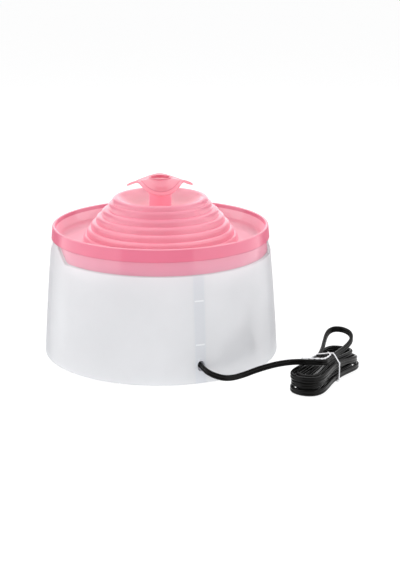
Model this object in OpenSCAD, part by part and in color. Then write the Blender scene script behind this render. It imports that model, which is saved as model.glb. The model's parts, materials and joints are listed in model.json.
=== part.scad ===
// Pet water fountain: a round reservoir, a drinking tray that sits in its rim,
// a terraced dome with a three-petal flower spout, and a pump on a flat cord.
// Millimetres. +Z is up, the origin is the centre of the footprint on the table,
// and the cord leaves the reservoir at +Y, the rear.

/* [Reservoir] */
// Radius of the reservoir at the table
base_r = 100; // [94:1:110]
// Height of the reservoir's rim above the table
bowl_h = 101; // [98:1:115]
// How far the wall leans in for each millimetre of height
wall_lean = 0.055; // [0.04:0.005:0.07]
// How much more it leans in, for each square millimetre of height
wall_bow = 0.00022; // [0.00016:0.00002:0.00028]
// Thickness of the reservoir's wall
wall_t = 2.4; // [2:0.1:3]
// Thickness of the reservoir's floor
floor_t = 2.4; // [2:0.1:3.4]
// Height of the floor's underside above the table
floor_lift = 7; // [6:0.5:9]
// Height of the wall's lower edge above the table
edge_lift = 1; // [0.6:0.1:1.8]
// Radius round the outside of the lower edge
edge_round = 1.5; // [0.8:0.1:2]
// Radius between the floor and the wall, inside
bowl_fillet = 6; // [3:0.5:10]

/* [Cord duct] */
// Distance from the centre to the duct's inner face
duct_y = 80; // [77:0.5:82]
// Width of the duct, outside
duct_w = 11.2; // [10:0.2:14]
// Thickness of the duct's walls
duct_t = 2; // [1.6:0.1:2.4]
// Height of the duct's top above the table
duct_top = 88; // [84:0.5:88.5]
// Depth of the notch that lets the cord over the duct's inner wall
notch_depth = 9; // [8:0.5:11]
// Heights of the two ribs across the channel
rib_z = [33.3, 69];
// Thickness of a rib
rib_t = 1.4; // [1:0.1:2]
// Height of the cord hole above the table
hole_z = 16; // [15:0.5:20]
// Width of the cord hole
hole_w = 5.6; // [5:0.1:7]
// Height of the cord hole
hole_h = 8.6; // [8:0.1:10]
// How far the hole's rim stands out
hole_rim = 0.6; // [0.3:0.1:1]

/* [Feet] */
// Radius of a rubber foot
foot_r = 8; // [6:0.5:10]
// Thickness of a rubber foot
foot_t = 3.2; // [2.6:0.1:4]
// Depth of the seat that a foot is pressed into
foot_seat = 1.2; // [0.8:0.1:1.6]
// Distance from the centre to a foot's centre
foot_ring = 80; // [74:1:82]

/* [Tray] */
// How far the tray's rim stands above the reservoir's rim
tray_rise = 10.5; // [8:0.5:13]
// Thickness of the tray
tray_t = 2.2; // [1.8:0.1:2.6]
// How far the skirt reaches down into the reservoir
skirt_drop = 11.4; // [10:0.2:12.4]
// Thickness of the skirt
skirt_t = 2.6; // [2.2:0.1:3]
// Clearance between the skirt and the reservoir's wall
skirt_gap = 0.35; // [0.3:0.05:0.6]
// Depth of the drinking trough
trough_depth = 17.5; // [15:0.5:19]
// Radius between the trough's floor and its wall
trough_fillet = 5; // [3:0.5:7]
// How far the lip of the opening hangs down
open_lip = 3; // [2:0.5:5]
// Depth of the grip recess at each side of the skirt
grip_depth = 1.4; // [0.8:0.1:1.6]
// Width of the grip recess at its top
grip_top_w = 16; // [10:1:24]
// Width of the grip recess at its bottom
grip_bottom_w = 48; // [40:1:60]

/* [Dome] */
// Radius of the dome's lowest terrace
dome_r = 65.5; // [65:0.5:70]
// Height of the dome from its foot to the dish's lip
dome_h = 40.2; // [36:0.5:46]
// Radius of the dish's lip
dish_r = 38; // [34:0.5:42]
// Number of terraces
terraces = 6; // [4:1:8]
// How far the dome's side bulges past a straight line
dome_bulge = 2.5; // [1.5:0.1:3.5]
// Thickness of the dome's shell
dome_t = 2; // [1.6:0.1:2.4]
// How far the dome's foot stands out from its lowest terrace
foot_out = 0.5; // [0.2:0.1:1]
// Rise of each terrace above its edge
tread_rise = 1.2; // [0.6:0.1:1.6]
// Drop of each terrace's rounded edge
tread_drop = 2; // [1.4:0.1:2.4]
// Depth of the dish
dish_depth = 7; // [5:0.5:9]
// Radius of the dish's flat middle
dish_flat_r = 14; // [12:0.5:18]
// Height of the rounded crest round the dish
crest_h = 3.6; // [3:0.1:4]
// Number of water inlets round the foot
inlets = 12; // [8:1:16]
// Width of an inlet
inlet_w = 8; // [6:0.5:9]
// Height of an inlet
inlet_h = 5; // [4.5:0.5:6]

/* [Spout and flower] */
// Outer radius of the spout column
spout_r = 9.4; // [9:0.1:11]
// Radius of the spout column's bore
spout_bore = 6.8; // [6.8:0.1:7.2]
// Height of the spout column above the dish
spout_h = 18.2; // [14:0.2:24]
// Radius of the neck that passes through the dome
neck_r = 8.3; // [8.3:0.1:8.8]
// How far the neck hangs below the dish
neck_drop = 9; // [6:0.5:12]
// Clearance between the neck and the dome's hole
neck_gap = 0.3; // [0.3:0.05:0.5]
// Radius of the flower's collar
collar_r = 9.5; // [9:0.1:11]
// Height of the flower's collar
collar_h = 4.8; // [4:0.1:6]
// Radius of the flower's stem
stem_r = 6.5; // [6:0.1:6.5]
// How far the stem reaches down into the spout column
stem_h = 8; // [6:0.5:9]
// Radius of the water hole through the flower
mouth_r = 5; // [4:0.1:5.2]
// Radius of the mouth at its top
mouth_top_r = 7.8; // [6:0.1:8.2]
// Number of petals
petals = 3; // [3:1:5]
// Turn of the first petal from +Y towards +X
petal_turn = 16.5; // [0:0.5:60]
// Reach of a petal from the centre
petal_r = 30; // [28:0.2:34]
// Reach of the valley between two petals
valley_r = 22; // [19:0.5:24]
// Droop of a petal's tip
petal_droop = 6.7; // [4:0.1:9]
// Droop of the lip along the petals' edge
petal_lip = 1.4; // [0:0.1:2]
// Share of the droop that comes close to the collar
petal_bend = 0.45; // [0:0.05:0.8]
// Depth of the petals' root below the collar's top
petal_seat = 0.7; // [0.5:0.1:1.2]
// Droop of the valley between two petals
valley_droop = 0.2; // [0:0.1:2]
// Thickness of a petal
petal_t = 1.5; // [1.2:0.1:2]

/* [Filter] */
// Gap between the basket's flange and the dome's foot
flange_gap = 1.4; // [0.6:0.1:2.4]
// Width of the basket's flange that rests on the tray
flange_rest = 1.6; // [1.2:0.1:2.4]
// Gap between the basket's wall and the tray's opening
basket_gap = 3; // [1:0.2:4]
// Depth of the basket below its flange
basket_h = 18; // [16:0.5:20]
// Thickness of the basket
basket_t = 1.8; // [1.4:0.1:2.2]
// Thickness of the basket's flange
flange_t = 1.5; // [1.2:0.1:2]
// Bore of the basket's collar round the riser tube
collar_bore = 8.5; // [8:0.1:9.5]
// Distance from the slots' outer end to the basket's wall
slot_margin = 5.2; // [4:0.2:12]
// Radius of the slots' inner end
slot_in_r = 22; // [18:1:26]
// Number of slots in the basket's floor
slots = 16; // [8:1:20]
// Width of a slot
slot_w = 3; // [2:0.2:4]
// Thickness of the foam pad
foam_t = 4; // [3:0.5:5]
// Thickness of the carbon pad
carbon_t = 5; // [4:0.5:6]
// Thickness of the cotton pad
cotton_t = 4; // [3:0.5:4.5]
// Gap round the edges of the pads
pad_gap = 0.6; // [0.4:0.1:1]

/* [Pump] */
// Height of a suction cup
cup_h = 4.5; // [4:0.1:6]
// Radius of a suction cup
cup_r = 6; // [5:0.5:7]
// Width of the pump's motor block
block_w = 36; // [35:0.5:40]
// Length of the pump's motor block
block_l = 28.5; // [27.5:0.5:34]
// Height of the pump's motor block
block_h = 41; // [40:0.5:46]
// Wall of the pump's motor block
block_t = 2; // [1.6:0.1:2.2]
// Distance from the riser's axis to the motor block
block_y = 7.5; // [7.2:0.1:9]
// Height of the impeller's axis above the block's underside
axis_h = 16.1; // [16:0.1:17]
// Outer radius of the volute
volute_r = 14; // [13.5:0.1:14]
// Radius of the volute's chamber
chamber_r = 12; // [11.4:0.1:12.2]
// How far the volute stands in front of the riser's axis
volute_front = 6; // [5.6:0.1:7]
// Outer radius of the outlet nozzle
nozzle_r = 5; // [4.4:0.1:5]
// Bore of the outlet nozzle
nozzle_bore = 3.4; // [2.8:0.1:3.6]
// Height of the nozzle above the block's underside
nozzle_h = 48; // [46:0.5:52]
// Bore of the rotor's well
well_r = 8.8; // [8.6:0.1:9]
// Wall of the rotor's well
well_t = 1.2; // [1:0.1:1.4]
// Depth of the rotor's well
well_l = 21; // [20:0.5:22]
// Radius of the magnet
magnet_r = 8.1; // [7.6:0.1:8.2]
// Length of the magnet
magnet_l = 18; // [16:0.5:18.5]
// Radius of the impeller
impeller_r = 10.4; // [9.5:0.1:10.6]
// Number of the impeller's paddles
paddles = 6; // [4:1:8]
// Radius of the pump's shaft
shaft_r = 1.15; // [1:0.05:1.4]
// Running clearance of the magnet on the shaft
run_gap = 0.06; // [0.04:0.01:0.08]
// Radius of a shaft bush
bush_r = 3.2; // [2.8:0.1:3.6]
// Length of a shaft bush
bush_l = 2.6; // [2:0.1:3]
// Thickness of the cover that closes the volute
cover_t = 2; // [1.6:0.1:2.4]
// Thickness of the volute's ring seal
seal_t = 1.2; // [1:0.1:1.5]
// Radius of the inlet hole in the volute's cover
inlet_r = 7; // [6.4:0.1:7.6]
// Thickness of the core's laminations together
core_l = 16; // [12:0.5:16]
// Gap between the core and the motor block's side wall
core_gap = 1.2; // [0.8:0.1:2]
// Outer radius of the riser tube
riser_r = 6.5; // [6.2:0.1:6.5]
// How far the riser tube stands above the dish
riser_over = 6.5; // [4:0.5:8]

// Height above the block's underside at which the cord leaves the motor block
gland_h = 26; // [24:0.5:28]
// Length of the cord's gland
gland_l = 8; // [6:0.5:10]

/* [Intake cover] */
// Wall of the intake cover
intake_t = 1.6; // [1.2:0.1:1.6]
// How far the intake cover's front stands before the riser's axis
intake_front = 20; // [18.6:0.2:24]
// Number of slots in the intake cover
intake_slots = 6; // [4:1:7]
// Width of an intake slot
intake_slot_w = 2.4; // [1.6:0.1:2.6]
// Travel of the flow slide
slide_travel = 8; // [4:0.5:10]

/* [Cord] */
// Width of the flat twin cord
cord_w = 5; // [4.6:0.1:5]
// Thickness of the flat twin cord
cord_t = 2.8; // [2.4:0.1:2.8]
// Radius of the plug's moulded body
plug_r = 4.6; // [4.4:0.1:5]
// Length of the plug's moulded body
plug_l = 18; // [16:0.5:22]
// Radius of the plug's metal barrel
barrel_r = 2.75; // [2.75:0.05:2.75]
// Length of the plug's metal barrel
barrel_l = 9.5; // [9:0.5:12]
// Half length of the hank
hank_a = 45; // [42:0.5:50]
// Half width of the hank's ends, before the waist is drawn in
hank_b = 20.5; // [19.5:0.5:24]
// How far the tie draws the hank in at its waist
hank_waist = 8.5; // [7:0.5:9]
// Step from one loop of the hank to the next
hank_step = 4.8; // [4.7:0.1:5]
// Height of one layer of the hank
hank_layer = 5.45; // [5.45:0.05:5.8]
// Height of the loop that stands up from the hank
hank_arch = 12.5; // [6:0.5:14]
// How far the arch stands outside the loops below it
hank_spread = 3; // [0:0.5:4]
// How far the arch's end is drawn back over the hank
hank_pull = 5; // [0:0.5:6]
// Radius of the tie's wire
tie_r = 0.7; // [0.5:0.1:0.7]

/* [Hidden] */

// Smoothness of round faces
$fn = 96;
// Gap that stands for a lifted part resting on its seat
seat_gap = 0.3;
// Small overlap that joins two bodies of one piece
weld = 0.5;
// Number of steps that draw the wall's bow
wall_steps = 10;
// Share of a petal's length where its lip begins
lip_start = 0.85;

// Heights that stack up from the table
floor_z = floor_lift + floor_t;
tray_z = bowl_h + seat_gap;
rim_z = bowl_h + tray_rise;
skirt_z = bowl_h - skirt_drop;
trough_z = rim_z - trough_depth;
dome_z = trough_z + seat_gap;
lip_z = dome_z + dome_h;
dish_z = lip_z - dish_depth;
spout_z = dish_z + seat_gap;
spout_top = spout_z + spout_h;
cap_z = spout_top + seat_gap;
cap_top = cap_z + collar_h;
basket_z = trough_z + seat_gap;
basket_floor = basket_z - basket_h;
// Radii that stack inwards from the dome's foot
flange_r = dome_r + foot_out - dome_t - flange_gap;
tray_open_r = flange_r - flange_rest;
basket_r = tray_open_r - basket_gap;
pump_z = floor_z + cup_h;
axis_z = pump_z + axis_h;
block_top = pump_z + block_h;
nozzle_top = pump_z + nozzle_h;
riser_z = nozzle_top - 12;
riser_top = dish_z + riser_over;

// Outer radius of the reservoir, and of the tray's rim above it, at height z
function wall_r(z) = base_r - wall_lean * z - wall_bow * z * z;

// Outer and inner radius of the tray's skirt at height z
function skirt_out(z) = wall_r(z) - wall_t - skirt_gap;
function skirt_in(z) = skirt_out(z) - skirt_t;

// Points on an arc: centre c, radius r, from angle a to angle b, in n steps
function arc(c, r, a, b, n) =
    [for (i = [0:n]) c + r * [cos(a + (b - a) * i / n), sin(a + (b - a) * i / n)]];

// A 3-D point from a plan point and a height
function lift(p, z) = [p[0], p[1], z];

// Value that runs smoothly from 0 to 1 as x does
function smooth(x) = let(c = min(max(x, 0), 1)) c * c * (3 - 2 * c);

// ---------------------------------------------------------------- reservoir

// Section of the reservoir: bowed wall, rounded foot edge and flat floor
module bowl_section() {
    edge_z = edge_lift + edge_round;
    in_z = floor_z + bowl_fillet;
    outer = [for (i = [0:wall_steps]) let(z = edge_z + (bowl_h - edge_z) * i / wall_steps)
        [wall_r(z), z]];
    inner = [for (i = [wall_steps:-1:0]) let(z = in_z + (bowl_h - in_z) * i / wall_steps)
        [wall_r(z) - wall_t, z]];
    fillet = arc([wall_r(in_z) - wall_t - bowl_fillet, in_z], bowl_fillet, 0, -90, 8);
    foot = arc([wall_r(edge_z) - edge_round, edge_z], edge_round, -90, 0, 6);
    polygon(concat(
        outer, inner, fillet,
        [[0, floor_z], [0, floor_lift], [wall_r(floor_lift) - wall_t, floor_lift]],
        [[wall_r(edge_lift) - wall_t, edge_lift]],
        foot));
}

// Space inside the bowl, grown a little into the wall so that ribs join it
module bowl_core(z_low, z_high) {
    grow = wall_t / 2;
    side = [for (i = [0:wall_steps]) let(z = z_low + (z_high - z_low) * i / wall_steps)
        [wall_r(z) - wall_t + grow, z]];
    rotate_extrude() polygon(concat([[0, z_low]], side, [[0, z_high]]));
}

// Outline of a slot with round ends, w wide and h long
module oval(w, h) {
    square([w, h - w], center = true);
    translate([0, (h - w) / 2]) circle(d = w);
    translate([0, (w - h) / 2]) circle(d = w);
}

// Duct that keeps the cord's hole dry: two side walls and an inner wall
module cord_duct() {
    channel_w = duct_w - 2 * duct_t;
    reach = base_r - duct_y;
    notch_w = cord_t + 1.6;
    low = floor_z - weld;
    intersection() {
        bowl_core(low, duct_top);
        difference() {
            translate([-duct_w / 2, duct_y, low]) cube([duct_w, reach, duct_top - low]);
            translate([-channel_w / 2, duct_y + duct_t, floor_z]) cube([channel_w, reach, duct_top]);
            translate([0, duct_y - 1, duct_top - notch_depth + notch_w / 2])
                rotate([-90, 0, 0]) cylinder(d = notch_w, h = duct_t + 2);
            translate([-notch_w / 2, duct_y - 1, duct_top - notch_depth + notch_w / 2])
                cube([notch_w, duct_t + 2, notch_depth]);
        }
    }
    // Ribs across the channel, close to the outer wall
    for (z = rib_z) {
        intersection() {
            bowl_core(z, z + rib_t);
            translate([-channel_w / 2 - weld, wall_r(z) - wall_t - 1.6, z])
                cube([channel_w + 2 * weld, 10, rib_t]);
        }
    }
}

// Places for the four feet
module at_feet() {
    for (a = [45:90:315]) {
        rotate([0, 0, a]) translate([foot_ring, 0, 0]) children();
    }
}

module reservoir() {
    exit_y = wall_r(hole_z);
    boss_z = foot_t - foot_seat;
    color([0.93, 0.93, 0.95, 0.9])
    difference() {
        union() {
            rotate_extrude() bowl_section();
            cord_duct();
            at_feet() translate([0, 0, boss_z]) cylinder(r = foot_r + 1.8, h = floor_lift - boss_z + weld);
            translate([0, exit_y - wall_t / 2, hole_z]) rotate([-90, 0, 0])
                linear_extrude(wall_t / 2 + hole_rim) oval(hole_w + 2.4, hole_h + 2.4);
        }
        translate([0, duct_y + duct_t + 4, hole_z]) rotate([-90, 0, 0])
            linear_extrude(30) oval(hole_w, hole_h);
        at_feet() translate([0, 0, boss_z - 1]) cylinder(r = foot_r + 0.1, h = foot_seat + 1);
    }
}

module base_feet() {
    color([0.25, 0.25, 0.27])
    at_feet() rotate_extrude() polygon([
        [0, 0], [foot_r - 0.8, 0], [foot_r, 0.8], [foot_r, foot_t], [0, foot_t]]);
}

// --------------------------------------------------------------------- tray

// Section of the tray: rim, trough and the skirt that enters the reservoir
module tray_section() {
    round_r = tray_t / 2;
    round_z = rim_z - round_r;
    fillet_z = trough_z + trough_fillet;
    step = 4;
    outer = [for (i = [0:step]) let(z = tray_z + (round_z - tray_z) * i / step) [wall_r(z), z]];
    rim = arc([wall_r(round_z) - round_r, round_z], round_r, 0, 180, 8);
    wall = [for (i = [step:-1:0]) let(z = fillet_z + (tray_z - fillet_z) * i / step) [skirt_in(z), z]];
    fillet = arc([skirt_in(fillet_z) - trough_fillet, fillet_z], trough_fillet, 0, -90, 8);
    under_z = trough_z - tray_t;
    polygon(concat(
        outer, rim, wall, fillet,
        [[tray_open_r, trough_z], [tray_open_r, under_z - open_lip]],
        [[tray_open_r + tray_t, under_z - open_lip], [tray_open_r + tray_t, under_z]],
        [[skirt_in(under_z), under_z], [skirt_in(skirt_z), skirt_z]],
        [[skirt_out(skirt_z), skirt_z], [skirt_out(tray_z), tray_z]]));
}

// Shallow recess that thins the skirt at one side, for the fingers
module grip_recess() {
    difference() {
        rotate([90, 0, 90]) linear_extrude(base_r) polygon([
            [-grip_bottom_w / 2, skirt_z - 1], [grip_bottom_w / 2, skirt_z - 1],
            [grip_top_w / 2, bowl_h - 1], [-grip_top_w / 2, bowl_h - 1]]);
        translate([0, 0, skirt_z - 2]) cylinder(
            r1 = skirt_out(skirt_z - 2) - grip_depth,
            r2 = skirt_out(bowl_h) - grip_depth,
            h = bowl_h - skirt_z + 2);
    }
}

module tray() {
    color([0.96, 0.6, 0.7])
    difference() {
        rotate_extrude() tray_section();
        grip_recess();
        rotate([0, 0, 180]) grip_recess();
    }
}

// ------------------------------------------------------------------- filter

module filter_basket() {
    collar_out = collar_bore + 2;
    slot_out_r = basket_r - basket_t - slot_margin;
    color([0.97, 0.97, 0.97])
    difference() {
        rotate_extrude() polygon([
            [collar_bore, basket_floor], [basket_r, basket_floor],
            [basket_r, basket_z], [flange_r, basket_z], [flange_r, basket_z + flange_t],
            [basket_r - basket_t, basket_z + flange_t], [basket_r - basket_t, basket_floor + basket_t],
            [collar_out, basket_floor + basket_t], [collar_out, basket_z - 1], [collar_bore, basket_z - 1]]);
        for (a = [0:360 / slots:359]) {
            rotate([0, 0, a]) translate([0, 0, basket_floor - 1]) linear_extrude(basket_t + 2)
                translate([(slot_out_r + slot_in_r) / 2, 0]) rotate([0, 0, 90])
                    oval(slot_w, slot_out_r - slot_in_r);
        }
    }
}

// One round filter pad with a hole for the basket's collar
module pad(z, t, shade) {
    color(shade)
    translate([0, 0, z]) difference() {
        cylinder(r = basket_r - basket_t - pad_gap, h = t);
        translate([0, 0, -1]) cylinder(r = collar_bore + 2 + pad_gap, h = t + 2);
    }
}

foam_z = basket_floor + basket_t + 0.2;
carbon_z = foam_z + foam_t + 0.2;
cotton_z = carbon_z + carbon_t + 0.2;

module filter_foam() { pad(foam_z, foam_t, [0.35, 0.4, 0.5]); }
module filter_carbon() { pad(carbon_z, carbon_t, [0.15, 0.15, 0.15]); }
module filter_cotton() { pad(cotton_z, cotton_t, [0.98, 0.98, 0.96]); }

// --------------------------------------------------------------------- dome

// Radius and height of the dome's side at share u of the way down
function side_r(u) = dish_r + (dome_r - dish_r) * u + 4 * dome_bulge * u * (1 - u);
function side_z(u) = lip_z - (lip_z - dome_z - inlet_h - 2.5) * u;

// Where the rounded crest of the dish meets the first terrace
crest_end = dish_r + 2.9;
crest_w = crest_h + 0.3;

// Rounded tread of terrace i, from the riser above it to its own edge
function tread(i) =
    let(r0 = i == 1 ? crest_end + 0.1 : side_r((i - 1) / terraces) + 0.3, r1 = side_r(i / terraces), z = side_z(i / terraces))
    [for (k = [0:5]) [
        r0 + (r1 - r0) * sin(k * 18),
        z - tread_drop + (tread_rise + tread_drop) * cos(k * 18)]];

// Inside of the shell behind the riser above terrace i
function behind(i) = [
    side_r((i - 1) / terraces) + 0.3 - dome_t * 1.2,
    side_z(i / terraces) + tread_rise - dome_t * 0.4];

module dome_section() {
    steps = [for (i = [1:terraces]) each tread(i)];
    inside = [for (i = [terraces:-1:2]) behind(i)];
    dish = [for (k = [8:-1:0]) [
        dish_flat_r + (crest_end - crest_w * 1.65 - dish_flat_r) * k / 8,
        dish_z + (dish_depth - 0.24 * crest_h) * pow(k / 8, 2.4)]];
    crest = [for (a = [130:-13:0]) [
        crest_end - crest_w * (1 - cos(a)), lip_z - crest_h * (1 - sin(a))]];
    hole_r = neck_r + neck_gap;
    polygon(concat(
        [[hole_r, dish_z]],
        [for (k = [8:-1:0]) dish[k]],
        crest, steps,
        [[dome_r + foot_out, dome_z], [dome_r + foot_out - dome_t, dome_z]],
        [[dome_r + 0.1 - dome_t, side_z(1) - tread_drop]],
        inside,
        [[dish_r - 3.4, dish_z + dish_depth * 0.3 - dome_t]],
        [[dish_flat_r + 8, dish_z - dome_t], [hole_r, dish_z - dome_t]]));
}

module dome() {
    color([0.95, 0.58, 0.66])
    difference() {
        rotate_extrude() dome_section();
        for (a = [0:360 / inlets:359]) {
            rotate([0, 0, a + 180 / inlets]) translate([dome_r - 6, 0, dome_z]) rotate([0, 90, 0])
                linear_extrude(12) {
                    translate([inlet_w / 2 - inlet_h, 0]) circle(d = inlet_w);
                    translate([inlet_w / 2 - inlet_h, -inlet_w / 2]) square([inlet_h, inlet_w]);
                }
        }
    }
}

// --------------------------------------------------------- spout and flower

module spout_column() {
    color([0.99, 0.52, 0.6])
    rotate_extrude() polygon([
        [spout_bore, dish_z - neck_drop], [neck_r, dish_z - neck_drop],
        [neck_r, spout_z], [spout_r, spout_z],
        [spout_r, spout_top - 0.5], [spout_r - 0.5, spout_top],
        [spout_bore, spout_top]]);
}

// How strongly a petal is present at angle a from the first petal's middle
function petal_share(a) = pow((1 + cos(petals * a)) / 2, 0.95);

// Point of the petals' sheet: share q from the collar to the edge, at angle a
function petal_point(q, a, drop) =
    let(
        share = petal_share(a),
        reach = valley_r + (petal_r - valley_r) * share,
        start = collar_r - 0.6,
        r = start + (reach - start) * q,
        curve = q * (1 + petal_bend - petal_bend * q),
        lip = petal_lip * (0.3 + 0.7 * share) * max(0, q - lip_start) / (1 - lip_start),
        sag = (valley_droop + (petal_droop - valley_droop) * share) * curve + lip,
        turned = 90 - petal_turn + a)
    [r * cos(turned), r * sin(turned), cap_top - petal_seat - sag - drop];

// The drooping sheet of petals, one closed skin
module petal_sheet() {
    around = 72;
    steps = [0, 0.15, 0.3, 0.45, 0.6, 0.73, lip_start, 1];
    out = len(steps) - 1;
    ring = out + 1;
    half = around * ring;
    top = [for (j = [0:around - 1]) for (i = [0:out]) petal_point(steps[i], j * 360 / around, 0)];
    low = [for (j = [0:around - 1]) for (i = [0:out]) petal_point(steps[i], j * 360 / around, petal_t)];
    faces = [for (j = [0:around - 1]) let(a = j * ring, b = ((j + 1) % around) * ring) each concat(
        [for (i = [0:out - 1]) each [[a + i, a + i + 1, b + i + 1], [a + i, b + i + 1, b + i]]],
        [for (i = [0:out - 1]) each [
            [half + a + i, half + b + i + 1, half + a + i + 1],
            [half + a + i, half + b + i, half + b + i + 1]]],
        [[a + out, half + a + out, half + b + out], [a + out, half + b + out, b + out]],
        [[a, b, half + b], [a, half + b, half + a]])];
    polyhedron(points = concat(top, low), faces = [for (f = faces) [f[0], f[2], f[1]]]);
}

module flower_cap() {
    color([0.98, 0.66, 0.73])
    union() {
        petal_sheet();
        rotate_extrude() polygon(concat(
            [[mouth_r, cap_z - stem_h], [stem_r, cap_z - stem_h], [stem_r, cap_z]],
            [[collar_r, cap_z], [collar_r, cap_top - 1]],
            arc([collar_r - 1, cap_top - 1], 1, 0, 90, 4),
            [[mouth_top_r, cap_top], [mouth_top_r - 0.4, cap_top - 0.6], [mouth_r, cap_top - 4.2]]));
    }
}

// --------------------------------------------------------------------- pump

// Turns a profile drawn round the pump's own axis to lie along +Y
module along_axis(y) {
    translate([0, y, axis_z]) rotate([-90, 0, 0]) children();
}

riser_bore = nozzle_r + 0.05;
block_end = block_y + block_l;
potting_t = 3;
cover_y = -volute_front - seal_t - cover_t;
rotor_y = block_y - 1.5;

module riser_tube() {
    color([0.9, 0.92, 0.95, 0.8])
    translate([0, 0, riser_z]) difference() {
        cylinder(r = riser_r, h = riser_top - riser_z);
        translate([0, 0, -1]) cylinder(r = riser_bore, h = riser_top - riser_z + 2);
    }
}

// Places for the four suction cups under the motor block
module at_cups() {
    for (x = [-1, 1]) {
        for (y = [block_y + 5, block_end - 6]) {
            translate([x * (block_w / 2 - 6.5), y, 0]) children();
        }
    }
}

module pump_housing() {
    inner_w = block_w - 2 * block_t;
    color([0.16, 0.16, 0.18]) {
    // Seat of the rear bush in the end of the well
    along_axis(block_y + well_l - bush_l) difference() {
        cylinder(r = bush_r + 1.25, h = bush_l + well_t / 2);
        translate([0, 0, -1]) cylinder(r = bush_r + 0.05, h = bush_l + 1);
    }
    difference() {
        union() {
            difference() {
                translate([-block_w / 2, block_y, pump_z]) cube([block_w, block_l, block_h]);
                translate([-inner_w / 2, block_y + block_t, pump_z + block_t])
                    cube([inner_w, block_l, block_h - 2 * block_t]);
            }
            along_axis(block_y) cylinder(r = well_r + well_t, h = well_l + well_t);
            along_axis(-volute_front) cylinder(r = volute_r, h = volute_front + block_y + block_t / 2);
            translate([0, 0, axis_z]) cylinder(r = nozzle_r, h = nozzle_top - axis_z);
            translate([0, 0, axis_z]) cylinder(r = riser_r, h = riser_z - axis_z);
        }
        along_axis(-volute_front - 1) cylinder(r = chamber_r, h = volute_front + rotor_y + 1.4);
        along_axis(0) cylinder(r = well_r, h = block_y + well_l);
        // The face that the ring seal lies on
        along_axis(-volute_front - 2) cylinder(r = volute_r, h = 2);
        translate([0, 0, axis_z]) cylinder(r = nozzle_bore, h = nozzle_top);
        at_cups() translate([0, 0, pump_z - 1]) cylinder(r = 2.1, h = 2.5);
    }
    }
}

module pump_potting() {
    inner_w = block_w - 2 * block_t - 0.2;
    color([0.1, 0.1, 0.12])
    translate([-inner_w / 2, block_end - potting_t, pump_z + block_t + 0.1])
        cube([inner_w, potting_t - 0.3, block_h - 2 * block_t - 0.2]);
}

// Inside measures of the motor that the core and the coil share
core_y = block_y + block_t + 1.3;
core_half = block_w / 2 - block_t - core_gap;
core_leg = core_half - well_r - well_t - 0.2;
core_top = block_top - block_t - 4;
window_z = axis_z + well_r + well_t + 1.2;

module stator_core() {
    bridge_z = core_top - core_leg;
    color([0.55, 0.56, 0.58])
    translate([0, core_y + core_l, 0]) rotate([90, 0, 0]) linear_extrude(core_l) difference() {
        translate([-core_half, axis_z - well_r]) square([2 * core_half, core_top - axis_z + well_r]);
        translate([0, axis_z]) circle(r = well_r + well_t + 0.2);
        translate([-core_half + core_leg, window_z]) square([2 * (core_half - core_leg), bridge_z - window_z]);
        translate([-4, axis_z - well_r - 1]) square([8, well_r]);
    }
}

module stator_coil() {
    bridge_z = core_top - core_leg;
    half = core_half - core_leg - 0.8;
    wind = min(bridge_z - window_z, block_top - block_t - core_top) - 0.5;
    color([0.72, 0.4, 0.2])
    difference() {
        translate([-half, core_y - wind / 2, bridge_z - wind])
            cube([2 * half, core_l + wind, core_leg + 2 * wind]);
        translate([-half - 1, core_y - 0.1, bridge_z - 0.1])
            cube([2 * half + 2, core_l + 0.2, core_leg + 0.2]);
    }
}

module rotor_magnet() {
    color([0.3, 0.3, 0.33])
    along_axis(rotor_y) difference() {
        cylinder(r = magnet_r, h = magnet_l);
        translate([0, 0, -1]) cylinder(r = shaft_r + run_gap, h = magnet_l + 2);
    }
}

module impeller() {
    blade_t = 1.2;
    length = 7;
    color([0.92, 0.92, 0.9])
    along_axis(rotor_y - length) difference() {
        union() {
            cylinder(r = 3, h = length);
            translate([0, 0, length - 1.2]) cylinder(r = impeller_r, h = 1.2);
            for (a = [0:360 / paddles:359]) {
                rotate([0, 0, a]) translate([2, -blade_t / 2, 0]) cube([impeller_r - 2.4, blade_t, length - 0.6]);
            }
        }
        translate([0, 0, -1]) cylinder(r = shaft_r + run_gap, h = length + 2);
    }
}

// The shaft runs from the bush in the volute's cover to the one in the well
shaft_y0 = cover_y + 0.3;
shaft_y1 = block_y + well_l - 0.2;

module pump_shaft() {
    color([0.95, 0.95, 0.93])
    along_axis(shaft_y0) cylinder(r = shaft_r, h = shaft_y1 - shaft_y0);
}

module shaft_bushes() {
    color([0.2, 0.2, 0.2]) {
        along_axis(shaft_y0) bush();
        along_axis(shaft_y1 - bush_l) bush();
    }
}

module bush() {
    difference() {
        cylinder(r = bush_r, h = bush_l);
        translate([0, 0, -1]) cylinder(r = shaft_r, h = bush_l + 2);
    }
}

module volute_cover() {
    seat_r = bush_r + 0.05;
    color([0.2, 0.2, 0.22])
    along_axis(cover_y) difference() {
        union() {
            difference() {
                cylinder(r = volute_r, h = cover_t);
                translate([0, 0, -1]) cylinder(r = inlet_r, h = cover_t + 2);
            }
            cylinder(r = seat_r + 1.2, h = cover_t);
            for (a = [30:120:270]) {
                rotate([0, 0, a]) translate([seat_r + 0.4, -0.8, 0]) cube([inlet_r - seat_r, 1.6, cover_t]);
            }
        }
        translate([0, 0, -1]) cylinder(r = seat_r, h = cover_t + 2);
    }
}

module volute_seal() {
    color([0.3, 0.3, 0.3])
    along_axis(-volute_front - seal_t) difference() {
        cylinder(r = volute_r - 0.3, h = seal_t);
        translate([0, 0, -1]) cylinder(r = chamber_r + 0.2, h = seal_t + 2);
    }
}

// The intake cover slides on from the front and stops at the motor block
intake_half = block_w / 2;
intake_y1 = block_y - 0.3;
intake_z0 = pump_z + 0.4;
intake_top = axis_z + volute_r + 2.2;
window_x = slide_travel / 2 + 3;

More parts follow.
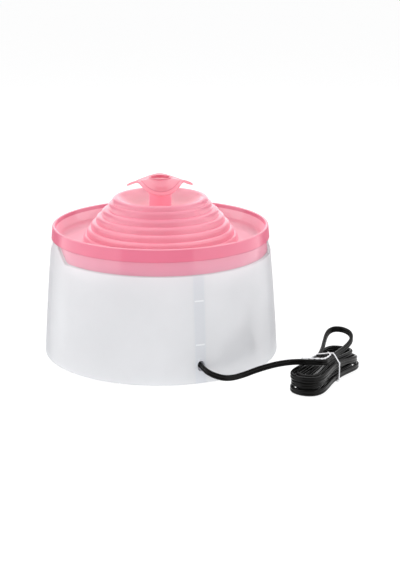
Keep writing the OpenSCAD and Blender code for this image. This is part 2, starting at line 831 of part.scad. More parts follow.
module intake_cover() {
    depth = intake_front + intake_y1;
    slot_pitch = (2 * intake_half - 8) / intake_slots;
    knob_z = intake_top - 7;
    color([0.18, 0.18, 0.2])
    difference() {
        translate([-intake_half, -intake_front, intake_z0])
            cube([2 * intake_half, depth, intake_top - intake_z0]);
        translate([-intake_half + intake_t, -intake_front + intake_t, intake_z0 + intake_t - 0.3])
            cube([2 * (intake_half - intake_t), depth, intake_top - intake_z0 - 2 * intake_t + 0.3]);
        translate([-riser_r - 0.4, -riser_r - 0.4, intake_top - 4])
            cube([2 * riser_r + 0.8, depth, 8]);
        for (i = [0:intake_slots - 1]) {
            translate([(i - (intake_slots - 1) / 2) * slot_pitch, -intake_front - 1, intake_z0 + 11])
                rotate([-90, 0, 0]) linear_extrude(intake_t + 2) oval(intake_slot_w, 15);
        }
        translate([0, -intake_front - 1, knob_z]) rotate([-90, 0, 0])
            linear_extrude(intake_t + 2) rotate([0, 0, 90]) oval(2.6, 2 * window_x);
    }
}

module flow_slide() {
    knob_z = intake_top - 7;
    y_in = -intake_front + intake_t + 0.3;
    left = -slide_travel / 2;
    color([0.85, 0.85, 0.87])
    union() {
        translate([left - 6, y_in, knob_z - 3]) cube([12, 1.4, 6]);
        translate([left, -intake_front - 1.6, knob_z]) rotate([-90, 0, 0]) cylinder(d = 2, h = intake_t + 2.4);
        translate([left, -intake_front - 1.9, knob_z]) rotate([-90, 0, 0]) cylinder(d = 5, h = 1.6);
    }
}

module suction_cups() {
    color([0.8, 0.82, 0.84, 0.9])
    at_cups() translate([0, 0, floor_z]) rotate_extrude() polygon([
        [0, 1], [2, 0.9], [cup_r - 0.8, 0], [cup_r, 0], [cup_r - 0.6, 1],
        [2.8, 2.6], [2.8, cup_h], [2, cup_h], [2, cup_h + 1.4], [0, cup_h + 1.4]]);
}

// --------------------------------------------------------------------- cord

gland_z = pump_z + gland_h;

module pump_cord_gland() {
    color([0.12, 0.12, 0.13])
    translate([0, block_end - 0.3, gland_z]) rotate([-90, 0, 0]) rotate_extrude() polygon([
        [0, 0], [6, 0], [6, 1.6], [4.6, 2.2], [3.6, gland_l], [0, gland_l]]);
}

// Outline of the flat cord: across is its thin way, up is its wide way
function cord_ring(sides) = sides == 6
    ? [[0, cord_w / 2], [cord_t / 2, cord_w / 4], [cord_t / 2, -cord_w / 4],
        [0, -cord_w / 2], [-cord_t / 2, -cord_w / 4], [-cord_t / 2, cord_w / 4]]
    : [[cord_t / 4, cord_w / 2], [cord_t / 2, cord_w / 3.2], [cord_t / 2, -cord_w / 3.2],
        [cord_t / 4, -cord_w / 2], [-cord_t / 4, -cord_w / 2], [-cord_t / 2, -cord_w / 3.2],
        [-cord_t / 2, cord_w / 3.2], [-cord_t / 4, cord_w / 2]];

// Direction along a path at point i
function along(path, i) =
    let(n = len(path) - 1, d = path[min(i + 1, n)] - path[max(i - 1, 0)])
    d / norm(d);

// One closed tube whose ring i is rings[i]
module tube(rings) {
    n = len(rings);
    m = len(rings[0]);
    skin = [for (i = [0:n - 2]) for (j = [0:m - 1])
        let(a = i * m + j, b = i * m + (j + 1) % m)
        each [[a, b, b + m], [a, b + m, a + m]]];
    first = [for (j = [1:m - 2]) [0, j + 1, j]];
    last = [for (j = [1:m - 2]) [(n - 1) * m, (n - 1) * m + j, (n - 1) * m + j + 1]];
    polyhedron(points = [for (r = rings) each r], faces = concat(skin, first, last));
}

// Rings of a flat cord that lies on edge, its wide way always upright
function edge_rings(path, sides) = [for (i = [0:len(path) - 1])
    let(d = along(path, i), flat = norm([d[0], d[1]]), side = [-d[1], d[0], 0] / flat)
    [for (p = cord_ring(sides)) path[i] + side * p[0] + [0, 0, p[1]]]];

// Route of the cord inside the bowl, as [y, z] in the plane of the duct
pump_route = [[block_end - 0.3 + gland_l, gland_z], [50, gland_z + 1], [56, gland_z + 5],
    [61, 54], [66, 66], [70, 76], [74.5, 82], [79, 84.2], [83, 83.4], [86, 79.5], [87.2, 72],
    [87.4, 60], [87.4, 48], [87.4, 36], [87.6, 27], [89.4, 20.5], [93, 17],
    [wall_r(hole_z) - 2, hole_z], [wall_r(hole_z) + hole_rim, hole_z]];

module pump_cord() {
    n = len(pump_route) - 1;
    rings = [for (i = [0:n])
        let(
            d0 = pump_route[min(i + 1, n)] - pump_route[max(i - 1, 0)],
            d = i == 0 || i == n ? [1, 0] : d0 / norm(d0),
            up = [-d[1], d[0]])
        [for (p = cord_ring(8)) [-p[0], pump_route[i][0] + up[0] * p[1], pump_route[i][1] + up[1] * p[1]]]];
    color([0.1, 0.1, 0.11])
    tube(rings);
}

// The hank lies on the table with its long axis turned by hank_turn
hank_x = -97.5;
hank_y = 122;
hank_turn = 221.5;
// First loop starts a little back, and the last ends at the waist
hank_s0 = -0.25;
hank_s1 = 5 + 1 / 12;
// Height of the lowest loop, and how far the tie lifts the waist
hank_z = cord_w / 2 + 0.3;
tie_lift = 2 * tie_r - 0.1;
hank_lead = cord_w;
// Length of each of the three steps in which the tail bends
tail_step = 2.2;

// Place in plan of the point [u, v] of the hank, u along its long axis
function hank_plan(p) = [
    hank_x + p[0] * cos(hank_turn) - p[1] * sin(hank_turn),
    hank_y + p[0] * sin(hank_turn) + p[1] * cos(hank_turn)];

// Angle round the hank after s loops
function hank_angle(s) = -60 - 360 * s;

// How far inside the outermost loop the cord lies after s loops
function hank_in(s) = s < 0 ? 3 * hank_step * s : hank_step * abs((s + 1.5) % 3 - 1.5);

// Point of the outermost loop at angle a, and its outward direction
function loop_point(a) = [hank_a * cos(a), sin(a) * (hank_b + hank_waist * cos(2 * a))];
function loop_way(a) = [
    -hank_a * sin(a),
    cos(a) * (hank_b + hank_waist * cos(2 * a)) - 2 * hank_waist * sin(a) * sin(2 * a)];
function loop_out(a) = let(w = loop_way(a)) [w[1], -w[0]] / norm(w);

// Share of the arch that the last half loop makes, after s loops
function arch_share(s) = pow(sin(180 * min(max((s - 4.55) / (hank_s1 - 4.55), 0), 1)), 2);

// Height after s loops: it climbs a layer along the run where the spiral turns
function hank_height(s, u) =
    let(
        climbs = smooth((s - 1.5) * 4 + 0.5) + smooth((s - 3) * 4 + 0.5) + smooth((s - 4.6) * 4 + 0.5))
    hank_z + hank_layer * climbs + tie_lift * (1 - pow(u / hank_a, 2))
        + hank_arch * arch_share(s) + (plug_r - cord_w / 2) * smooth((-s - 0.12) / 0.13);

function hank_flat(s) =
    loop_point(hank_angle(s)) - (hank_in(s) - hank_spread * arch_share(s)) * loop_out(hank_angle(s))
        - [hank_pull * arch_share(s), 0];
function hank_point(s) = let(p = hank_flat(s)) lift(hank_plan(p), hank_height(s, p[0]));

// Direction in plan that lies at angle a from the way back along the hank
function hank_back(a) = [-cos(hank_turn - a), -sin(hank_turn - a), 0];

// The tail bends until it lies beside the hank, and both ends run straight
tail_bend = [for (a = [26, 17, 8]) tail_step * hank_back(a)];
hank_end0 = hank_back(4);
hank_end1 = hank_back(0);
tail_0 = hank_point(hank_s0);
tail_1 = tail_0 + tail_bend[0];
tail_2 = tail_1 + tail_bend[1];
tail_3 = tail_2 + tail_bend[2];
hank_tail = tail_3 + hank_lead * hank_end0;
hank_head = hank_point(hank_s1) + hank_lead * hank_end1;

hank_rings = 24;
hank_count = round((hank_s1 - hank_s0) * hank_rings);
hank_path = concat(
    [hank_tail, tail_3, tail_2, tail_1],
    [for (i = [0:hank_count]) hank_point(hank_s0 + (hank_s1 - hank_s0) * i / hank_count)],
    [hank_head]);

// Least distance between points of the cord's skin that lie over half a loop apart
function least_gap(rings, mids) = min([for (i = [0:len(rings) - 1]) for (j = [i + 12:1:len(rings) - 1])
    if (norm(mids[i] - mids[j]) < 9) min([for (p = rings[i]) for (q = rings[j]) norm(p - q)])]);

function path_length(path) = [for (i = [1:len(path) - 1]) norm(path[i] - path[i - 1])]
    * [for (i = [1:len(path) - 1]) 1];

module cord_hank() {
    half_path = [for (i = [0:2 * len(hank_path) - 2])
        (hank_path[floor(i / 2)] + hank_path[ceil(i / 2)]) / 2];
    echo(hank_least_gap = least_gap(edge_rings(half_path, 6), half_path));
    echo(hank_length = path_length(hank_path), free_length = path_length(free_route));
    echo(plug_start = hank_tail, plug_way = hank_end0);
    rings = edge_rings(hank_path, 6);
    n = len(rings) - 1;
    // The two ends are square to what they meet
    side = [-hank_end0[1], hank_end0[0], 0];
    first = [for (p = cord_ring(6)) hank_tail - side * p[0] + [0, 0, p[1]]];
    color([0.09, 0.09, 0.1])
    tube(concat([first], [for (i = [1:n]) rings[i]]));
}

// Route of the free stretch, from the hole to the hank's waist
free_z = hank_z + 3 * hank_layer + tie_lift;
free_route = [[0, wall_r(hole_z) + hole_rim, hole_z], [0, 104.5, 15.8], [-1.5, 109, 14.3],
    [-6, 113.5, 12], [-13, 116.5, 10], [-21, 117, 9.5], [-30, 117, 10.8], [-39, 117.5, 13.2],
    [-47.5, 119.5, 15.8], [-56, 122, 18], [-64.5, 125.5, 19.7], [-72.5, 129, free_z],
    [-80, 133, free_z], [-87, 136.5, free_z], [-92, 137, free_z],
    hank_head + 4.5 * hank_end1, hank_head];

module cord_free() {
    n = len(free_route) - 1;
    body = edge_rings(free_route, 8);
    // The two ends are square to what they meet
    start = [for (p = cord_ring(8)) free_route[0] + [-p[0], 0, p[1]]];
    side = [hank_end1[1], -hank_end1[0], 0];
    finish = [for (p = cord_ring(8)) hank_head + side * p[0] + [0, 0, p[1]]];
    color([0.1, 0.1, 0.11])
    tube(concat([start], [for (i = [1:n - 1]) body[i]], [finish]));
}

// Round wire along a path in three dimensions, m sides
function wire_rings(path, r, m) = [for (i = [0:len(path) - 1])
    let(
        d = along(path, i),
        side = cross(abs(d[2]) > 0.9 ? [d[1], -d[0], 0] + [cos(hank_turn), sin(hank_turn), 0] : [0, 0, 1], d),
        a = side / norm(side),
        b = cross(a, d))
    [for (k = [0:m - 1]) path[i] + r * (a * cos(k * 360 / m) + b * sin(k * 360 / m))]];

// Place in the waist's cross-section of the cord's skin after s loops
function waist_point(s, across, up) =
    [-sin(hank_angle(s)) * (hank_b - hank_waist - hank_in(s)) + across * cord_t / 2,
        hank_height(s, 0) + up * cord_w / 2];

// Corners of the bundle at its waist, anticlockwise from the lower right
waist_corners = [
    waist_point(1 / 12, 0, -1), waist_point(1 / 12, 1, -0.5),
    waist_point(3 + 1 / 12, 1, 0.5), waist_point(5 + 1 / 12, 1, 0.5),
    waist_point(5 + 1 / 12, 0, 1), waist_point(4 + 7 / 12, 0, 1),
    waist_point(4 + 7 / 12, -1, 0.5), waist_point(3 + 7 / 12, -1, 0.5),
    waist_point(2 + 7 / 12, -1, 0.5), waist_point(2 + 7 / 12, -1, -0.5),
    waist_point(7 / 12, -1, -0.5), waist_point(7 / 12, 0, -1)];

// Loop that passes every corner at distance r on the outside
function wrap(corners, r) =
    let(n = len(corners))
    [for (i = [0:n - 1])
        let(
            d0 = corners[i] - corners[(i + n - 1) % n],
            d1 = corners[(i + 1) % n] - corners[i])
        each [corners[i] + r * [d0[1], -d0[0]] / norm(d0), corners[i] + r * [d1[1], -d1[0]] / norm(d1)]];

// The tie goes once round the waist and its twisted tail lies on the free cord
module cord_tie() {
    round = wrap(waist_corners, tie_r + 0.2);
    n = len(round);
    m = 8;
    ahead = [cos(hank_turn), sin(hank_turn), 0];
    rings = [for (i = [0:n - 1])
        let(
            d2 = round[(i + 1) % n] - round[(i + n - 1) % n],
            out2 = [d2[1], -d2[0]] / norm(d2),
            centre = lift(hank_plan([0, -round[i][0]]), round[i][1]),
            out = lift(hank_plan([0, -out2[0]]) - hank_plan([0, 0]), out2[1]))
        [for (k = [0:m - 1]) centre + tie_r * (out * cos(k * 360 / m) + ahead * sin(k * 360 / m))]];
    skin = [for (i = [0:n - 1]) for (j = [0:m - 1])
        let(
            a = i * m + j,
            b = i * m + (j + 1) % m,
            c = ((i + 1) % n) * m + j,
            e = ((i + 1) % n) * m + (j + 1) % m)
        each [[a, e, b], [a, c, e]]];
    top_z = round[9][1];
    tail_z = free_z + cord_w / 2 + 0.2 + tie_r;
    tail = [lift(hank_plan([0, -round[9][0] + 4]), top_z), lift(hank_plan([-4, -round[9][0]]), top_z),
        [-92, 137, tail_z], [-87, 136.5, tail_z], [-80, 133, tail_z], [-74, 130, tail_z]];
    color([0.9, 0.9, 0.92])
    union() {
        polyhedron(points = [for (r = rings) each r], faces = skin);
        tube(wire_rings(tail, tie_r, 8));
    }
}

// Places a piece of the plug, drawn along +Z, at distance s past the hank's end
module at_plug(s) {
    translate(hank_tail + s * hank_end0)
        rotate([0, 90, atan2(hank_end0[1], hank_end0[0])]) children();
}

module plug_body() {
    color([0.11, 0.11, 0.12])
    at_plug(0) rotate_extrude() polygon([
        [0, 0], [3.1, 0], [3.4, 7], [plug_r - 0.8, 8], [plug_r, 9], [plug_r, plug_l - 1],
        [plug_r - 1, plug_l], [0, plug_l]]);
}

module plug_barrel() {
    color([0.8, 0.8, 0.82])
    at_plug(plug_l) difference() {
        cylinder(r = barrel_r, h = barrel_l);
        translate([0, 0, 1]) cylinder(r = barrel_r - 0.35, h = barrel_l);
    }
}

module plug_insulator() {
    color([0.1, 0.1, 0.1])
    at_plug(plug_l + 1) difference() {
        cylinder(r = barrel_r - 0.4, h = barrel_l - 1);
        translate([0, 0, 1]) cylinder(r = 1.25, h = barrel_l);
    }
}

reservoir();
base_feet();
tray();
filter_basket();
filter_foam();
filter_carbon();
filter_cotton();
dome();
spout_column();
flower_cap();
riser_tube();
pump_housing();
pump_potting();
stator_core();
stator_coil();
rotor_magnet();
impeller();
pump_shaft();
shaft_bushes();
volute_cover();
volute_seal();
intake_cover();
flow_slide();
suction_cups();
pump_cord_gland();
pump_cord();
cord_free();
cord_hank();
cord_tie();
plug_body();
plug_barrel();
plug_insulator();
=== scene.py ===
import json
import math

import bpy
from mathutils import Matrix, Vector

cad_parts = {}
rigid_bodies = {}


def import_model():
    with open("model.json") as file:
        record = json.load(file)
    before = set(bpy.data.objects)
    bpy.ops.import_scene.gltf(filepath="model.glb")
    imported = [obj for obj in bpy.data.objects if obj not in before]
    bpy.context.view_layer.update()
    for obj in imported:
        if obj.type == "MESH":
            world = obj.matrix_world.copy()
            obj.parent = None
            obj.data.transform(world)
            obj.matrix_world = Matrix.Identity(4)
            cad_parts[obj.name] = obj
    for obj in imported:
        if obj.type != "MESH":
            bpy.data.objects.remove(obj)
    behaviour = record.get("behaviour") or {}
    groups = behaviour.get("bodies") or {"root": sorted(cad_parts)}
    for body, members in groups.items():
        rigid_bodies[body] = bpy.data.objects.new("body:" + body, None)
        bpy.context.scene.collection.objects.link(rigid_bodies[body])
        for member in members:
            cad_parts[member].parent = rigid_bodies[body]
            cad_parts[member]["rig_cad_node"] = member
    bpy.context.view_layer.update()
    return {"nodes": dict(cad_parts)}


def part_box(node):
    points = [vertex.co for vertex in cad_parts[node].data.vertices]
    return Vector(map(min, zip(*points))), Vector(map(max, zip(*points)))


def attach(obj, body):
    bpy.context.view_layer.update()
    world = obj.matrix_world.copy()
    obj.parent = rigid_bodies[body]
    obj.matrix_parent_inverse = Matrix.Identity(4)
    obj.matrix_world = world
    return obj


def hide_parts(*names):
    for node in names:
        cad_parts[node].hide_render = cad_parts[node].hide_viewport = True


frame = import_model()
nodes = frame["nodes"]

# ---------------------------------------------------------------- camera
# The fountain stands a little left of the middle and is seen from the rear,
# where the cord comes out, from 1.2 m away and 0.39 m above the table.
view = bpy.data.cameras.new("photo_view")
view.lens = 88.55
view.sensor_width = 36
view.clip_start = 0.05
view.clip_end = 60
camera = bpy.data.objects.new("photo_view", view)
bpy.context.scene.collection.objects.link(camera)
camera.location = (0.3668, 1.0962, 0.3885)
looks_at = Vector((-0.0317, 0.0106, 0.0564))
camera.rotation_euler = (looks_at - camera.location).to_track_quat("-Z", "Y").to_euler()
bpy.context.scene.camera = camera

# ---------------------------------------------------------------- cord
# Low-voltage flat twin cord, 5.0 by 2.8 mm, two round cores side by side in
# one extruded black jacket with a groove between them. It comes out of the
# hole, sags towards the table and is wound into a hank that a wire tie holds.
mm = 0.001
cord_w, cord_t = 5.0, 2.8
# The hank's middle and the way it points, half its length and width, and its waist's draw
hank_x, hank_y, hank_turn = -97.5, 122.0, math.radians(221.5)
hank_a, hank_b, hank_waist = 45.0, 20.5, 8.5
# Each loop lies a step inside the last for half a cycle of loops. Then the cord
# climbs a layer and each loop lies a step outside the last
hank_step, hank_layer, hank_cycle = 4.8, 5.45, 3
# The loops are counted from this angle in degrees, and these are where it climbs
hank_start, layer_starts = -60, (1.5, 3, 4.6)
# The last loop arches up, spreads outwards and is pulled along the hank
hank_arch, hank_spread, hank_pull, arch_start = 12.5, 3.0, 5.0, 4.55
hank_z, tie_r = cord_w / 2 + 0.3, 0.7
tie_lift = 2 * tie_r - 0.1
plug_r, plug_rise, plug_rise_run = 4.6, 0.12, 0.13
# Loops at the plug's end, and at the end where the free stretch comes in
hank_s0, hank_s1 = -0.25, 5 + 1 / 12


def smooth(x):
    """Goes from 0 to 1 as x does, without a kink at either end."""
    c = min(max(x, 0), 1)
    return c * c * (3 - 2 * c)


def hank_plan(u, v, z):
    """Point in the model from one along and across the hank."""
    return Vector((
        hank_x + u * math.cos(hank_turn) - v * math.sin(hank_turn),
        hank_y + u * math.sin(hank_turn) + v * math.cos(hank_turn), z))


def hank_angle(s):
    """Angle round the hank after s loops."""
    return math.radians(hank_start - 360 * s)


def hank_inset(s):
    """How far the cord lies inside the outermost loop, or outside it before the first."""
    if s < 0:
        return hank_cycle * hank_step * s
    half = hank_cycle / 2
    return hank_step * abs((s + half) % hank_cycle - half)


def hank_rise(s):
    """The last loop's arch: 0 where it leaves the stack, 1 at its top."""
    return math.sin(math.pi * min(max((s - arch_start) / (hank_s1 - arch_start), 0), 1)) ** 2


def hank_height(s):
    """Height of the cord's middle in its layer; it climbs over a quarter of a loop."""
    return hank_z + hank_layer * sum(smooth((s - k) * 4 + 0.5) for k in layer_starts)


def hank_point(s):
    """Point of the hank's centreline after s loops."""
    a = hank_angle(s)
    wide = hank_b + hank_waist * math.cos(2 * a)
    way = Vector((-hank_a * math.sin(a),
                  math.cos(a) * wide - 2 * hank_waist * math.sin(a) * math.sin(2 * a)))
    arch = hank_rise(s)
    inner = hank_inset(s) - hank_spread * arch
    u = hank_a * math.cos(a) - inner * way.y / way.length - hank_pull * arch
    v = math.sin(a) * wide + inner * way.x / way.length
    z = (hank_height(s) + tie_lift * (1 - (u / hank_a) ** 2) + hank_arch * arch
         + (plug_r - cord_w / 2) * smooth((-s - plug_rise) / plug_rise_run))
    return hank_plan(u, v, z)


def hank_back(a):
    """Level direction, a degrees off the way back along the hank."""
    a = hank_turn - math.radians(a)
    return Vector((-math.cos(a), -math.sin(a), 0))


def smooth_line(points, parts):
    """Points of one smooth curve through all the points, so many parts between each two."""
    line = []
    n = len(points)
    for i in range(n - 1):
        p0, p1, p2, p3 = (points[max(i - 1, 0)], points[i], points[i + 1],
                          points[min(i + 2, n - 1)])
        for k in range(parts):
            t = k / parts
            line.append(0.5 * (2 * p1 + (p2 - p0) * t
                               + (2 * p0 - 5 * p1 + 4 * p2 - p3) * t * t
                               + (3 * p1 - p0 - 3 * p2 + p3) * t ** 3))
    return line + [points[-1]]


def pick(piece):
    """Selects this piece alone."""
    bpy.ops.object.select_all(action="DESELECT")
    bpy.context.view_layer.objects.active = piece
    piece.select_set(True)


def start_piece(name, points, edges, faces):
    """A new piece, open in edit mode with all of it selected."""
    mesh = bpy.data.meshes.new(name)
    mesh.from_pydata([tuple(p) for p in points], edges, faces)
    piece = bpy.data.objects.new(name, mesh)
    bpy.context.scene.collection.objects.link(piece)
    pick(piece)
    bpy.ops.object.mode_set(mode="EDIT")
    bpy.ops.mesh.select_all(action="SELECT")
    return piece


def end_piece(sharp):
    """Turns the faces outwards and smooths every edge that bends less than sharp degrees."""
    bpy.ops.mesh.normals_make_consistent(inside=False)
    bpy.ops.object.mode_set(mode="OBJECT")
    bpy.ops.object.shade_smooth_by_angle(angle=math.radians(sharp))


def swept(name, line, ring, upright=True):
    """A closed tube: the ring of (across, up) points is carried along the line."""
    verts, faces = [], []
    m = len(ring)
    for i, p in enumerate(line):
        d = (line[min(i + 1, len(line) - 1)] - line[max(i - 1, 0)]).normalized()
        side = (Vector((-d.y, d.x, 0)) if upright else Vector((1, 0, 0))).normalized()
        up = d.cross(side) * (1 if upright else -1)
        for across, high in ring:
            verts.append((p + side * across + up * high) * mm)
    for i in range(len(line) - 1):
        for j in range(m):
            a, b = i * m + j, i * m + (j + 1) % m
            faces.append((a, a + m, b + m, b))
    faces.append(tuple(range(m)))
    faces.append(tuple(reversed(range(len(verts) - m, len(verts)))))
    piece = start_piece(name, verts, [], faces)
    end_piece(sharp=50)
    return piece


# Two round cores and the groove between them
core_r, core_up, groove = cord_t / 2, cord_w / 2 - cord_t / 2, 0.95
core_arc = [math.radians(a) for a in range(-36, 217, 28)]
twin_ring = [(core_r * math.cos(a), core_up + core_r * math.sin(a)) for a in core_arc]
twin_ring += [(-groove, 0.0)]
twin_ring += [(-core_r * math.cos(a), -core_up - core_r * math.sin(a)) for a in core_arc]
twin_ring += [(groove, 0.0)]

# The free stretch: out of the hole, down, and up again to lie on the hank's waist
free_z = hank_z + 3 * hank_layer + tie_lift
head, lead_in = hank_point(hank_s1) + cord_w * hank_back(0), 4.5
route = [Vector(p) for p in (
    (0, 96.5, 16), (0, 99.66, 16), (0, 104.5, 15.8), (-1.5, 109, 14.3), (-6, 113.5, 12),
    (-13, 116.5, 10), (-21, 117, 9.5), (-30, 117, 10.8), (-39, 117.5, 13.2),
    (-47.5, 119.5, 15.8), (-56, 122, 18), (-64.5, 125.5, 19.7), (-72.5, 129, free_z),
    (-80, 133, free_z), (-87, 136.5, free_z), (-92, 137, free_z))]
route += [head + lead_in * hank_back(0), head]
# The hank's loops, from the last one down to the plug's end
points_per_loop = 24
turns = round((hank_s1 - hank_s0) * points_per_loop)
route += [hank_point(hank_s1 + (hank_s0 - hank_s1) * i / turns) for i in range(turns + 1)]
# The last bend before the plug
bend_step = 2.2
for a in (26, 17, 8):
    route.append(route[-1] + bend_step * hank_back(a))
plug_way = hank_back(4)
plug_start = route[-1] + cord_w * plug_way
route.append(plug_start)
cord_line = smooth_line(route, parts=4)
cord = swept("power_cord", cord_line, twin_ring)


def srgb(r, g, b):
    """Linear colour of an sRGB one given in 0 to 255."""
    return tuple(((c / 255 + 0.055) / 1.055) ** 2.4 if c > 10 else c / 255 / 12.92
                 for c in (r, g, b)) + (1,)


class Finish:
    """A material with one Principled shader, and short ways to add its patterns."""

    def __init__(self, name):
        self.mat = bpy.data.materials.new(name)
        self.mat.use_nodes = True
        self.tree = self.mat.node_tree
        self.tree.nodes.clear()
        self.out = self.add("ShaderNodeOutputMaterial")
        self.skin = self.add("ShaderNodeBsdfPrincipled")
        self.place = self.add("ShaderNodeTexCoord").outputs["Object"]
        self.link(self.skin.outputs[0], self.out.inputs["Surface"])

    def add(self, kind, **values):
        """A new node of the material."""
        node = self.tree.nodes.new(kind)
        for key, value in values.items():
            setattr(node, key, value)
        return node

    def link(self, a, b):
        self.tree.links.new(a, b)

    def put(self, value, socket):
        """Gives a socket a plain value, or what a node gives."""
        if isinstance(value, (int, float, tuple)):
            socket.default_value = value
        else:
            self.link(value, socket)

    def set(self, **values):
        """Plain values on the shader itself, such as Metallic=1.0."""
        for key, value in values.items():
            self.skin.inputs[key.replace("_", " ")].default_value = value

    def noise(self, scale, detail=3.0, rough=0.5, stretch=None):
        """Cloudy pattern from 0 to 1, finer as the scale grows, squeezed along each axis by stretch."""
        node = self.add("ShaderNodeTexNoise")
        node.inputs["Scale"].default_value = scale
        node.inputs["Detail"].default_value = detail
        node.inputs["Roughness"].default_value = rough
        place = self.place
        if stretch:
            turn = self.add("ShaderNodeMapping")
            turn.inputs["Scale"].default_value = stretch
            self.link(place, turn.inputs["Vector"])
            place = turn.outputs[0]
        self.link(place, node.inputs["Vector"])
        return node.outputs["Fac"]

    def between(self, value, low, high, start=0.3, end=0.7):
        """Goes from low to high as the value goes from start to end."""
        node = self.add("ShaderNodeMapRange")
        for key, number in (("From Min", start), ("From Max", end), ("To Min", low), ("To Max", high)):
            node.inputs[key].default_value = number
        self.link(value, node.inputs["Value"])
        return node.outputs[0]

    def math(self, kind, a, b=0.0, c=0.0):
        node = self.add("ShaderNodeMath", operation=kind)
        for value, socket in zip((a, b, c), node.inputs):
            self.put(value, socket)
        return node.outputs[0]

    def mix(self, share, a, b):
        """Colour a where the share is 0, b where it is 1."""
        node = self.add("ShaderNodeMix", data_type="RGBA")
        for value, socket in ((share, node.inputs["Factor"]), (a, node.inputs[6]), (b, node.inputs[7])):
            self.put(value, socket)
        return node.outputs[2]

    def colour(self, value):
        self.shade = value
        self.link(value, self.skin.inputs["Base Color"])

    def tint(self, mask, colour):
        """Turns the colour so far into this one where the mask says so."""
        self.colour(self.mix(mask, self.shade, colour))

    def mottle(self, low, high, *grain):
        """Cloudy colour between two close shades; grain is what noise() takes."""
        self.colour(self.mix(self.between(self.noise(*grain), 0, 1), low, high))

    def roughen(self, low, high, *grain):
        """Roughness that wanders between two values; grain is what noise() takes."""
        self.link(self.between(self.noise(*grain), low, high), self.skin.inputs["Roughness"])

    def bump(self, height, distance, strength):
        """Fine relief, distance metres deep."""
        node = self.add("ShaderNodeBump")
        node.inputs["Strength"].default_value = strength
        node.inputs["Distance"].default_value = distance
        self.link(height, node.inputs["Height"])
        self.link(node.outputs[0], self.skin.inputs["Normal"])

    def see_through(self, share, colour):
        """Lets light through: a share of the surface scatters it to the far side."""
        far = self.add("ShaderNodeBsdfTranslucent")
        self.put(colour, far.inputs["Color"])
        mixed = self.add("ShaderNodeMixShader")
        self.put(share, mixed.inputs[0])
        self.link(self.skin.outputs[0], mixed.inputs[1])
        self.link(far.outputs[0], mixed.inputs[2])
        self.link(mixed.outputs[0], self.out.inputs["Surface"])

    def face_on(self, start, end):
        """One where the surface faces the eye, down to nothing where it is seen aslant."""
        return self.between(self.add("ShaderNodeLayerWeight").outputs["Facing"], 1, 0, start, end)

    def gloss(self, rough, where=1.0):
        """Adds the mirror-like reflection of a polished moulding."""
        shine = self.add("ShaderNodeBsdfPrincipled")
        shine.inputs["Base Color"].default_value = (0, 0, 0, 1)
        shine.inputs["Roughness"].default_value = rough
        part = self.add("ShaderNodeMixShader")
        self.put(where, part.inputs[0])
        self.link(shine.outputs[0], part.inputs[2])
        both = self.add("ShaderNodeAddShader")
        self.link(self.out.inputs["Surface"].links[0].from_socket, both.inputs[0])
        self.link(part.outputs[0], both.inputs[1])
        self.link(both.outputs[0], self.out.inputs["Surface"])

    def from_axis(self):
        """Distance from the fountain's axis."""
        flat = self.add("ShaderNodeVectorMath", operation="MULTIPLY")
        self.link(self.place, flat.inputs[0])
        flat.inputs[1].default_value = (1, 1, 0)
        far = self.add("ShaderNodeVectorMath", operation="LENGTH")
        self.link(flat.outputs[0], far.inputs[0])
        return far.outputs["Value"]

    def coordinates(self):
        """The surface's own X, Y and Z."""
        parts = self.add("ShaderNodeSeparateXYZ")
        self.link(self.place, parts.inputs[0])
        return tuple(parts.outputs)

    def dress(self, *pieces):
        """Gives the finish to a CAD node's slots, or to a new piece."""
        for piece in pieces:
            if "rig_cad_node" in piece:
                for place in piece.material_slots:
                    place.link = "OBJECT"
                    place.material = self.mat
            else:
                piece.data.materials.clear()
                piece.data.materials.append(self.mat)


jacket = Finish("cord_jacket")
jacket.set(Specular_IOR_Level=0.14)
jacket.mottle(srgb(5, 5, 5), srgb(12, 11, 10), 90, 4)
jacket.roughen(0.1, 0.2, 700, 3)
jacket.bump(jacket.noise(1400, 2), distance=0.00004, strength=0.5)
jacket.dress(cord)
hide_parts("cord_free", "cord_hank")
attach(cord, "base")

# ---------------------------------------------------------------- plug
# The 5.5 mm barrel plug at the cord's end: a black body moulded over the cord
# with a ribbed grip and a slim strain relief, and a nickel plated barrel.
def spun(name, outline, around, close=True):
    """A solid turned round Z from an outline of (radius, height) in mm; close joins its ends."""
    edges = [(i, i + 1) for i in range(len(outline) - 1)]
    if close:
        edges.append((len(outline) - 1, 0))
    piece = start_piece(name, [(r * mm, 0, z * mm) for r, z in outline], edges, [])
    bpy.ops.mesh.spin(steps=around, angle=2 * math.pi, center=(0, 0, 0), axis=(0, 0, 1))
    bpy.ops.mesh.select_all(action="SELECT")
    bpy.ops.mesh.remove_doubles(threshold=0.000004)
    end_piece(sharp=40)
    return piece


def lay_on_plug(piece):
    """Turns a piece made along +Z to lie along the plug."""
    piece.rotation_euler = (0, math.pi / 2, math.atan2(plug_way.y, plug_way.x))
    piece.location = plug_start * mm
    pick(piece)
    bpy.ops.object.transform_apply(location=True, rotation=True, scale=True)


